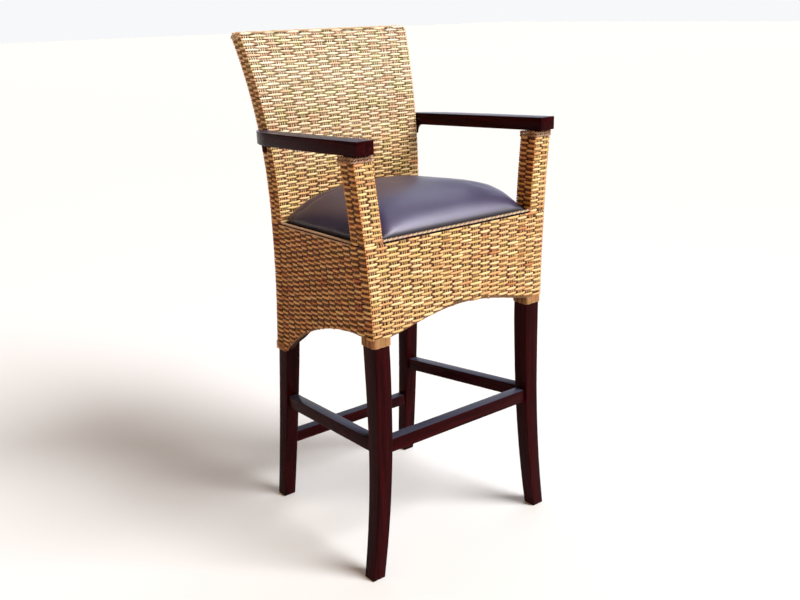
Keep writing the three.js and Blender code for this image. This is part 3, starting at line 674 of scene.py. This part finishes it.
def row_heights(bottom, top):
    rows = round((top - bottom) / ROW_PITCH)
    stray = rng.uniform(-ROW_STRAY, ROW_STRAY, rows)
    return bottom + (np.arange(rows) + 0.5) * (top - bottom) / rows + stray


def ring_stakes(strands, corners_at, stakes, bottom, top):
    """The stakes inside closed rows."""
    heights = np.linspace(bottom, top, STAKE_POINTS)
    outlines = [[np.array(corner) for corner in corners_at(z)] for z in heights]
    for face, count in enumerate(stakes):
        for share in (np.arange(count) + 0.5) / count:
            line = [corners[face] * (1 - share) + corners[(face + 1) % 4] * share for corners in outlines]
            stake(strands, np.array(line), ROUND[face])


def back_weave():
    """The back's rows and stakes, in bands one above the other. The last band has the crest too."""
    low, high = node_box("back_weave_front")[0], node_box("back_weave_crest")[1]
    stakes = [BACK_STAKES["front"], BACK_STAKES["side"]] * 2
    heights = row_heights(low.z + BACK_MARGIN, high.z - BACK_MARGIN)
    first = 0
    replaced = ["back_weave_" + part for part in ("front", "rear", "crest", "side_left", "side_right")]
    for band, some in enumerate(np.array_split(heights, BACK_BANDS)):
        strands = Strands()
        weave_rings(strands, back_corners, stakes, some, first)
        first += len(some)
        bottom, top = some[0] - ROW_PITCH / 2, some[-1] + ROW_PITCH / 2
        ring_stakes(strands, back_corners, stakes, bottom, min(top, high.z - CREST_MARGIN))
        if band == BACK_BANDS - 1:
            crest_rows(strands, high.z)
        strands.make(f"back_weave_{band + 1}", "back_rope", *replaced)


def crest_rows(strands, top):
    """Rows along the top of the back, turned down at both ends."""
    low_x, high_x, low_y, high_y = *BACK_FRONT.at(top)[:3], BACK_REAR.at(top)[3]
    width = high_y - low_y - 2 * CREST_MARGIN
    rows = round(width / ROW_PITCH)
    u = counter(0, BACK_STAKES["front"])
    normal = np.tile(Z, (len(u), 1))
    across = np.tile(Y, (len(u), 1))
    for row in range(rows):
        y = low_y + CREST_MARGIN + (row + 0.5) * width / rows
        line = straight((low_x, y, top), (high_x, y, top), u)
        line[:, 2] -= rounded_in(np.abs(line[:, 0]) - (high_x - CREST_ROUND), CREST_LIMIT)
        over = smooth(0.5 + 0.5 * np.cos(np.pi * (u + row)))
        centres = line + normal * between("out", over)[:, None]
        tint = float_values(u, row + CREST_ROWS, 0)
        strands.sweep(centres, normal, across, between("thick", over), between("high", over), tint, over)


# ---- the seat box ----
def rim_height(y):
    """Height of the woven box's top at y."""
    front_y = node_box("front_weave")[0].y
    share = (y - front_y) / (RIM.rear_y - front_y)
    return RIM.front + (RIM.rear - RIM.front) * np.clip(share, 0, 1)


def box_front(drop, u):
    """The front's path at a distance below the rim, from the left corner to the right one."""
    z = RIM.front - drop
    _, x, y, _ = FRONT_LEG.at(z)
    return straight((-x - SKIN, y - SKIN, z), (x + SKIN, y - SKIN, z), u)


def box_right(drop, u):
    """The right side's path, from the front corner to the rear one."""
    _, front_x, front_y, post_back = FRONT_LEG.at(RIM.front - drop)
    _, rear_x, leg_front, rear_y = REAR_LEG.at(RIM.rear - drop)
    y = np.linspace(front_y - SKIN, rear_y + SKIN, len(u))
    x = np.interp(y, [post_back, leg_front], [front_x, rear_x]) + SKIN
    return np.stack([x, y, rim_height(y) - drop], 1)


def box_rear(drop, u):
    """The rear's path, from the right corner to the left one."""
    z = RIM.rear - drop
    _, x, _, y = REAR_LEG.at(z)
    return straight((x + SKIN, y + SKIN, z), (-x - SKIN, y + SKIN, z), u)


def box_left(drop, u):
    """The left side's path, from the rear corner to the front one."""
    return (box_right(drop, u) * np.array([-1, 1, 1]))[::-1]


def box_faces():
    """The box's faces in order round it, which `turn` gives. `first` counts the stakes before each."""
    order = (
        ("front_weave", box_front, "front"), ("side_weave_right", box_right, "side"),
        ("rear_weave", box_rear, "rear"), ("side_weave_left", box_left, "side"),
    )
    faces = {}
    first = 0
    for turn, (name, path, kind) in enumerate(order):
        stakes = BOX_STAKES[kind]
        faces[name] = {"path": path, "stakes": stakes, "first": first, "axis": turn % 2, "turn": turn}
        first += stakes
    return faces


BOX_FACES = box_faces()


def box_weave(name, face):
    """One face of the seat box. The row above the rim is kept only behind the end of the side rims."""
    strands = Strands()
    low, high = node_box(name)
    edge = lower_edge(name, face["axis"])
    u = counter(face["first"], face["stakes"])
    tall = high.z - low.z + ROWS_PAST
    rim_end = node_box("side_rim_right")[1].y
    for row in range(-1, math.ceil(tall / ROW_PITCH)):
        line, normal, hold = face_row(face["path"]((row + FIRST_ROW) * ROW_PITCH, u), face["turn"])
        line[:, 2] += rng.uniform(-ROW_STRAY, ROW_STRAY)
        keep = line[:, 2] > edge(line[:, face["axis"]]) + EDGE_ROOM
        if row < 0:
            keep &= line[:, 1] > rim_end
        if keep.any():
            weave_row(strands, line, normal, u, row, hold, keep)
    box_stakes(strands, face, edge, tall)
    strands.make(name + "_strands", "seat_box_rope", name)


def box_stakes(strands, face, edge, tall):
    """The stakes behind one face's rows, down to its shaped lower edge."""
    drops = np.arange(STAKE_STEP.first, tall, STAKE_STEP.next)
    u = counter(face["first"], face["stakes"])
    picks = [SAMPLES // 2 + k * SAMPLES for k in range(face["stakes"])]
    lines = np.array([face["path"](d, u)[picks] for d in drops])
    for k in range(face["stakes"]):
        line = lines[:, k][::-1]
        line = line[line[:, 2] > edge(line[:, face["axis"]]) + STAKE_STEP.clear]
        if len(line) > 1:
            stake(strands, line, ROUND[face["turn"]])


# ---- arm posts ----
def post_weave(side, sign):
    """The sleeve of rows round an arm post."""
    def corners_at(z):
        return corners_of(*mirror_box(POST.at(z), sign), z)

    name = "post_weave_" + side
    low, high = node_box(name)
    strands = Strands()
    stakes = [POST_STAKES] * 4
    weave_rings(strands, corners_at, stakes, row_heights(low.z, high.z))
    ring_stakes(strands, corners_at, stakes, low.z, high.z)
    strands.make(name + "_strands", "seat_box_rope", name)


# ---- twisted ropes: rims, edges, collars and bindings ----
def twisted(strands, points, radius, lay, plies=2, closed=False, tint=0.15):
    """A rope of `plies` round each other along a path, with one turn in each `lay`."""
    points = even(np.array(points), lay / PLY.steps)
    if closed:
        points = points[:-1]
    along = unit(np.gradient(points, axis=0))
    side = unit(np.cross(along, Z + 1e-6))
    up = unit(np.cross(side, along))
    travel = travelled(points)
    full = travel[-1] + (travel[1] if closed else 0)
    turns = max(1, round(full / lay))
    size = np.full(len(points), radius * PLY.radius)
    depth = np.full(len(points), PLY.depth)
    for ply in range(plies):
        phase = 2 * math.pi * (travel / full * turns + ply / plies)
        out = side * np.cos(phase)[:, None] + up * np.sin(phase)[:, None]
        centres = points + out * radius * PLY.out
        # painted light and shade: one ply is paler than the other, standing for the twist's lumps and grooves
        shade = np.full(len(points), tint + PLY.contrast * ply + PLY.stray * rng.random())
        strands.sweep(centres, out, np.cross(out, along), size, size, shade, depth, closed)


def front_rim():
    """A twisted rope along the front edge."""
    strands = Strands()
    low, high = node_box("front_rim")
    y, z = low.y + FRONT_RIM.behind, high.z - FRONT_RIM.below
    twisted(strands, [(low.x, y, z), (high.x, y, z)], FRONT_RIM.radius, RIM_LAY, tint=FRONT_RIM.tint)
    strands.make("front_rim_ropes", "rim_rope", "front_rim")


def side_rim(side, sign):
    """Two twisted ropes along a side edge, from the arm post back."""
    name = "side_rim_" + side
    strands = Strands()
    low, high = node_box(name)
    inner, outer = (low.x, high.x) if sign > 0 else (high.x, low.x)
    for rope in SIDE_RIM_ROPES:
        lift = rope.lift
        start = (outer - sign * rope.inset, low.y, high.z - SIDE_RIM.middle + lift)
        end = (inner + sign * (SIDE_RIM.width - rope.inset), high.y, low.z + SIDE_RIM.middle + lift)
        twisted(strands, [start, end], rope.radius, RIM_LAY)
    strands.make(name + "_ropes", "rim_rope", name)


def edge_ropes():
    """Two ropes along each shaped lower edge of the seat box, one of them behind the ends of the rows."""
    strands = Strands()
    for name, face in BOX_FACES.items():
        axis = face["axis"]
        end = EDGE_ROPE.rear_end if name == "rear_weave" else EDGE_ROPE.end
        edge = lower_edge(name, axis)
        low, high = node_box(name)
        places = np.linspace(low[axis] + end, high[axis] - end, EDGE_ROPE.points)
        for rope in EDGE_ROPES:
            line = []
            for p in places:
                cut = cut_at(name, axis, p)
                at_edge = cut[np.abs(cut[:, 2] - edge(p)) < EDGE_ROPE.band]
                pick = at_edge[np.argmax(np.abs(at_edge[:, 1 - axis]))].copy()
                pick[1 - axis] -= math.copysign(rope.inset, pick[1 - axis])
                line.append((pick[0], pick[1], edge(p) + rope.lift))
            twisted(strands, line, rope.radius, EDGE_ROPE.lay, tint=0.0)
    strands.make("edge_ropes", "edge_rope")


def winding(kind, side, sign, rope):
    """Closed turns of rope round an arm post or a leg, one above the other."""
    wound = WINDINGS[kind]
    name = f"{kind}_{side}"
    low, high = node_box(name)
    strands = Strands()
    low_x, high_x, low_y, high_y = mirror_box(node_span(kind + "_right"), sign)
    inset = wound.radius + wound.inset
    corners = low_x + inset, high_x - inset, low_y + inset, high_y - inset
    top = high.z + wound.rise
    for k in range(wound.turns):
        z = low.z + (k + 0.5) * (top - low.z) / wound.turns
        loop = ring(corners_of(*corners, z), [POST_STAKES] * 4)[0]
        loop[:, 2] += wound.slope * (loop[:, 1] - corners[2])
        twisted(strands, np.concatenate([loop, loop[:1]]), wound.radius, wound.lay, closed=True)
    strands.make(name + "_turns", rope, name)


def rear_binding(side, sign):
    """Turns of cord over the skins on the rear leg's outer and rear faces."""
    name = "rear_binding_" + side
    low, high = node_box(name)
    strands = Strands()
    low_x, high_x, low_y, high_y = mirror_box(node_span("rear_binding_right"), sign)
    outer, inner = (high_x, low_x) if sign > 0 else (low_x, high_x)
    turns, radius = REAR_BINDING.turns, REAR_BINDING.radius
    inset = radius + REAR_BINDING.sunk
    shift = sign * inset
    for k in range(turns):
        z = low.z + (k + 0.5) * (high.z + REAR_BINDING.rise - low.z) / turns
        line = [
            (outer - shift, low_y, z), (outer - shift, high_y - REAR_BINDING.corner, z),
            (outer - shift * REAR_BINDING.corner_cut, high_y - inset, z), (inner, high_y - inset, z),
        ]
        twisted(strands, line, radius, REAR_BINDING.lay)
    strands.make(name + "_turns", "trim_rope", name)


# ---- wood ----
def lofted_leg(place, side, sign):
    """A leg as a loft of rounded squares through the CAD leg's sections, its foot cut in all round."""
    name, node_name = f"leg_{place}_{side}", f"{place}_leg_{side}"
    table = FRONT_LEG if place == "front" else REAR_LEG
    low, high = node_box(node_name)
    above = np.linspace(low.z + LEG.plain_from, high.z, LEG_LEVELS[place])
    heights = np.concatenate([[low.z, low.z + LEG.chamfer], above])
    arc = np.linspace(0, math.pi / 2, LEG.arc_points)
    rounding = LEG.rounding
    points, faces = [], []
    for i, z in enumerate(heights):
        low_x, high_x, low_y, high_y = mirror_box(table.at(z), sign)
        radius = rounding - (LEG.chamfer if i == 0 else 0)
        centres = [
            (high_x - rounding, high_y - rounding), (low_x + rounding, high_y - rounding),
            (low_x + rounding, low_y + rounding), (high_x - rounding, low_y + rounding),
        ]
        for quarter, (x, y) in enumerate(centres):
            for a in arc:
                angle = a + quarter * math.pi / 2
                points.append((x + radius * math.cos(angle), y + radius * math.sin(angle), z))
    count = 4 * len(arc)
    for i in range(len(heights) - 1):
        for j in range(count):
            k = (j + 1) % count
            faces.append((i * count + j, i * count + k, (i + 1) * count + k, (i + 1) * count + j))
    faces.append(list(reversed(range(count))))
    faces.append([(len(heights) - 1) * count + j for j in range(count)])
    mesh = bpy.data.meshes.new(name)
    mesh.from_pydata(points, [], faces)
    shade_smooth(mesh)
    mesh.set_sharp_from_angle(angle=math.radians(LEG.crease))
    return placed(mesh, name, wood[2], "dark_wood", node_name)


def softened(name, node_name, width, grain_axis, clear_of=()):
    """A CAD piece with its sharp edges rounded over, except near the pieces `clear_of`."""
    bm = bmesh.new()
    bm.from_mesh(NODES[node_name].data)
    bmesh.ops.remove_doubles(bm, verts=bm.verts, dist=SOFTEN.merge)
    bmesh.ops.dissolve_limit(bm, angle_limit=SOFTEN.flat, verts=bm.verts, edges=bm.edges)
    room = SOFTEN.room
    boxes = [node_box(n) for n in clear_of]

    def hidden(edge):
        middle = (edge.verts[0].co + edge.verts[1].co) / 2
        return any(all(lo[k] - room < middle[k] < hi[k] + room for k in range(3)) for lo, hi in boxes)

    def sharp(edge):
        return len(edge.link_faces) == 2 and edge.calc_face_angle() > SOFTEN.sharp

    rounded = [e for e in bm.edges if sharp(e) and not hidden(e)]
    bmesh.ops.bevel(
        bm, geom=rounded, offset=width, segments=SOFTEN.segments, profile=0.5, affect="EDGES",
        clamp_overlap=True,
    )
    mesh = bpy.data.meshes.new(name)
    bm.to_mesh(mesh)
    bm.free()
    shade_smooth(mesh)
    mesh.set_sharp_from_angle(angle=math.radians(SOFTEN.crease))
    return placed(mesh, name, wood[grain_axis], "dark_wood", node_name)


def woodwork():
    for side, sign in SIDES_OF:
        lofted_leg("front", side, sign)
        lofted_leg("rear", side, sign)
        softened(f"stretcher_side_{side}", f"side_stretcher_{side}", BAR_EDGE, 1)
        fixings = [f"arm_bolt_1_{side}", f"arm_bolt_2_{side}", f"arm_dowel_{side}"]
        softened(f"armrest_{side}", f"arm_{side}", ARM_EDGE, 1, clear_of=fixings)
    softened("footrest_bar", "front_footrest", BAR_EDGE, 0)
    softened("stretcher_rear", "rear_stretcher", BAR_EDGE, 0)


# ---- cushion ----
def dome(share, edge):
    """Height of a dome at a share of the way from its middle to its edge."""
    flatness, roundness = edge
    return (1 - min(abs(share), 1) ** flatness) ** roundness


def cushion_half_width(y):
    front, rear = FRONT_LEG.at(RIM.front)[1], REAR_LEG.at(RIM.rear)[1]
    share = (y - CUSHION.front_y) / (CUSHION.rear_y - CUSHION.front_y)
    return front + (rear - front) * share - CUSHION.edge


def notch_fall(x, y):
    """The share of its height that the cushion's top keeps near the notch round an arm post."""
    low, high = node_box("post_weave_right")
    inside = max((low.x - NOTCH.fall_clear) - abs(x), y - (high.y + NOTCH.fall_clear))
    return smooth(min(max(inside / NOTCH.fall, 0), 1)) ** NOTCH.power


def clear_of_post(x, y):
    """Moves a point of the cushion out of the notch round an arm post, to the nearer side of it."""
    low, high = node_box("post_weave_right")
    edge_x, edge_y = low.x - NOTCH.clear, high.y + NOTCH.clear
    if abs(x) > edge_x and y < edge_y:
        if abs(x) - edge_x < edge_y - y:
            return math.copysign(edge_x, x), y
        return x, edge_y
    return x, y


def cushion_point(s, t, upper):
    """A point of the cushion's upper or lower sheet. s and t go from -1 to 1 across it and along it."""
    half = (CUSHION.rear_y - CUSHION.front_y) / 2
    middle = (CUSHION.front_y + CUSHION.rear_y) / 2
    y = middle + t * half
    tuck = 0 if upper else CUSHION.tuck
    x = s * (cushion_half_width(y) - tuck)
    x, y = clear_of_post(x, middle + (y - middle) * (1 - tuck / half))
    base = float(rim_height(y))
    if not upper:
        return x, y, base - CUSHION.below
    bulge = dome(s, CUSHION_SIDE) * dome(t, CUSHION_FRONT if t < 0 else CUSHION_REAR) * notch_fall(x, y)
    return x, y, base + (CUSHION.lip + (CUSHION.crown - CUSHION.lip) * bulge)


def cushion_blank():
    """The cushion as two sheets sewn together round their edge."""
    n = CUSHION_CELLS
    shares = np.sin(math.pi * (np.linspace(0, 1, n + 1) - 0.5))
    points = [cushion_point(s, t, upper) for upper in (False, True) for t in shares for s in shares]
    row, sheet = n + 1, (n + 1) ** 2
    starts = [j * row + i for j in range(n) for i in range(n)]
    cells = [(c, c + 1, c + row + 1, c + row) for c in starts]
    faces = [cell[::-1] for cell in cells] + [tuple(c + sheet for c in cell) for cell in cells]
    edge = list(range(n)) + [j * row + n for j in range(n)]
    edge += [n * row + n - i for i in range(n)] + [(n - j) * row for j in range(n)]
    faces += [(a, b, b + sheet, a + sheet) for a, b in zip(edge, edge[1:] + edge[:1])]
    mesh = bpy.data.meshes.new("seat_cushion")
    mesh.from_pydata(points, [], faces)
    return mesh


def cushion():
    """The leather cushion: crowned, cut away round the arm posts, then inflated over its fixed underside."""
    piece = placed(cushion_blank(), "seat_cushion", leather, "leather", "seat_cover", "seat_foam")
    remesh = piece.modifiers.new("remesh", "REMESH")
    remesh.mode = "VOXEL"
    remesh.voxel_size = CUSHION_VOXEL
    apply_all(piece)
    relax(piece, 4)
    inflate(piece)
    relax(piece, 2)
    piece.modifiers.new("subdivide", "SUBSURF").levels = 1
    apply_all(piece)
    shade_smooth(piece.data)
    mark_foot(piece)


def mark_foot(piece):
    """Marks how far each point is from the rim and the arm posts: 0 in the crease, 1 clear of it."""
    low, high = node_box("post_weave_right")
    x, y, z = points_of(piece).T
    above = (z - rim_height(y)) / FOOT.height
    beside = np.hypot(np.maximum(low.x - np.abs(x), 0), np.maximum(y - high.y, 0)) / FOOT.beside
    foot = piece.data.attributes.new("foot", "FLOAT", "POINT")
    foot.data.foreach_set("value", np.clip(np.minimum(above, beside), 0, 1).astype(np.float32))


def points_of(piece):
    points = np.zeros(len(piece.data.vertices) * 3)
    piece.data.vertices.foreach_get("co", points)
    return points.reshape(-1, 3)


def apply_all(piece):
    """Applies every modifier of a piece."""
    evaluated = piece.evaluated_get(bpy.context.evaluated_depsgraph_get())
    made = bpy.data.meshes.new_from_object(evaluated)
    old = piece.data
    piece.modifiers.clear()
    piece.data = made
    made.name = old.name + "_made"


def relax(piece, rounds):
    """Rounds the edges over by averaging each point with its neighbours."""
    bm = bmesh.new()
    bm.from_mesh(piece.data)
    for _ in range(rounds):
        bmesh.ops.smooth_vert(
            bm, verts=bm.verts, factor=0.5, use_axis_x=True, use_axis_y=True, use_axis_z=True,
        )
    bm.to_mesh(piece.data)
    bm.free()


def inflate(piece):
    """Blows the cushion up as cloth over its fixed underside. No point moves further than the cap."""
    before = points_of(piece)
    fixed = piece.vertex_groups.new(name="fixed")
    for i, (_, y, z) in enumerate(before):
        height = z - (float(rim_height(y)) - CLOTH_FIXED.below)
        fixed.add([i], float(np.clip(1 - height / CLOTH_FIXED.over, 0, 1)), "REPLACE")
    cloth = piece.modifiers.new("cloth", "CLOTH")
    for key, value in CLOTH.items():
        setattr(cloth.settings, key, value)
    cloth.settings.effector_weights.gravity = 0
    cloth.point_cache.frame_start = 1
    cloth.point_cache.frame_end = CLOTH_FRAMES
    for f in range(1, CLOTH_FRAMES + 1):
        bpy.context.scene.frame_set(f)
    apply_all(piece)
    move = points_of(piece) - before
    size = np.linalg.norm(move, axis=1, keepdims=True)
    moved = before + move * np.minimum(1, CLOTH_CAP / np.maximum(size, 1e-9))
    piece.data.vertices.foreach_set("co", moved.ravel())
    bpy.context.scene.frame_set(1)


def keep_cad():
    """CAD nodes that stay in view get their own procedural material."""
    for name, obj in NODES.items():
        if obj.hide_render:
            continue
        fixing = "screw" in name or "bolt" in name
        obj.data.materials.clear()
        obj.data.materials.append(steel if fixing else raw_wood)


# ---- stage ----
def stage():
    bpy.ops.mesh.primitive_plane_add(size=80, location=(0, 0, 0))
    floor = bpy.context.object
    floor.name = "floor"
    floor.data.materials.append(pale_floor)


def studio():
    """Light from all round, bright behind the stool and dim in front. The backdrop that shows is pale."""
    world = bpy.data.worlds.new("studio")
    bpy.context.scene.world = world
    world.use_nodes = True
    tree = world.node_tree
    facing = node(tree, "ShaderNodeVectorMath", operation="DOT_PRODUCT")
    facing.inputs[1].default_value = WORLD_FACING
    link(tree.nodes.new("ShaderNodeTexCoord").outputs["Generated"], facing.inputs[0])
    glow = ramp(
        facing.outputs["Value"],
        (0.0, WORLD_WARM), (0.35, WORLD_DARK), (0.58, WORLD_DARK), (0.84, WORLD_BRIGHT),
    )
    seen = tree.nodes.new("ShaderNodeLightPath").outputs["Is Camera Ray"]
    background = tree.nodes["Background"]
    link(mixed(seen, glow, BACKDROP), background.inputs["Color"])
    background.inputs["Strength"].default_value = 1


def lamp(name, kind, energy, **settings):
    """A new light, still to be placed and turned."""
    data = bpy.data.lights.new(name, kind)
    data.energy = energy
    for key, value in settings.items():
        setattr(data, key, value)
    light = bpy.data.objects.new(name, data)
    bpy.context.scene.collection.objects.link(light)
    return light


def lights():
    """A broad sun from the front right, and a soft light high up on the right."""
    key = lamp("key", "SUN", 4.9, angle=math.radians(34), color=(1.0, 0.98, 0.95))
    key.rotation_euler = Vector((0.6, -1.2, 1.08)).to_track_quat("Z", "Y").to_euler()
    top = lamp("top", "AREA", 9, size=1.6)
    top.location = (1.5, 0.3, 3.0)
    aim = Vector((0, 0, 0.6)) - top.location
    top.rotation_euler = aim.to_track_quat("-Z", "Y").to_euler()


def camera():
    """The camera, by the direction from the stool to it, its roll and its place."""
    azimuth, elevation, roll = (math.radians(CAMERA[key]) for key in ("azimuth", "elevation", "roll"))
    flat = math.cos(elevation)
    back = Vector((math.sin(azimuth) * flat, -math.cos(azimuth) * flat, math.sin(elevation)))
    level = (-back).cross(Vector((0, 0, 1))).normalized()
    above = level.cross(-back)
    right = math.cos(roll) * level + math.sin(roll) * above
    up = -math.sin(roll) * level + math.cos(roll) * above
    data = bpy.data.cameras.new("camera")
    data.sensor_width = 36
    data.lens = CAMERA["lens"]
    data.clip_start, data.clip_end = 0.05, 200
    obj = bpy.data.objects.new("camera", data)
    bpy.context.scene.collection.objects.link(obj)
    axes = Matrix((right, up, back)).transposed().to_4x4()
    obj.matrix_world = Matrix.Translation(CAMERA_PLACE) @ axes
    bpy.context.scene.camera = obj


camera()
stage()
studio()
lights()
bpy.context.scene.view_settings.view_transform = "Standard"

back_weave()
for name, face in BOX_FACES.items():
    box_weave(name, face)
for side, sign in SIDES_OF:
    post_weave(side, sign)
    side_rim(side, sign)
    winding("arm_collar", side, sign, "collar_rope")
    winding("front_binding", side, sign, "trim_rope")
    rear_binding(side, sign)
front_rim()
edge_ropes()
woodwork()
cushion()
keep_cad()
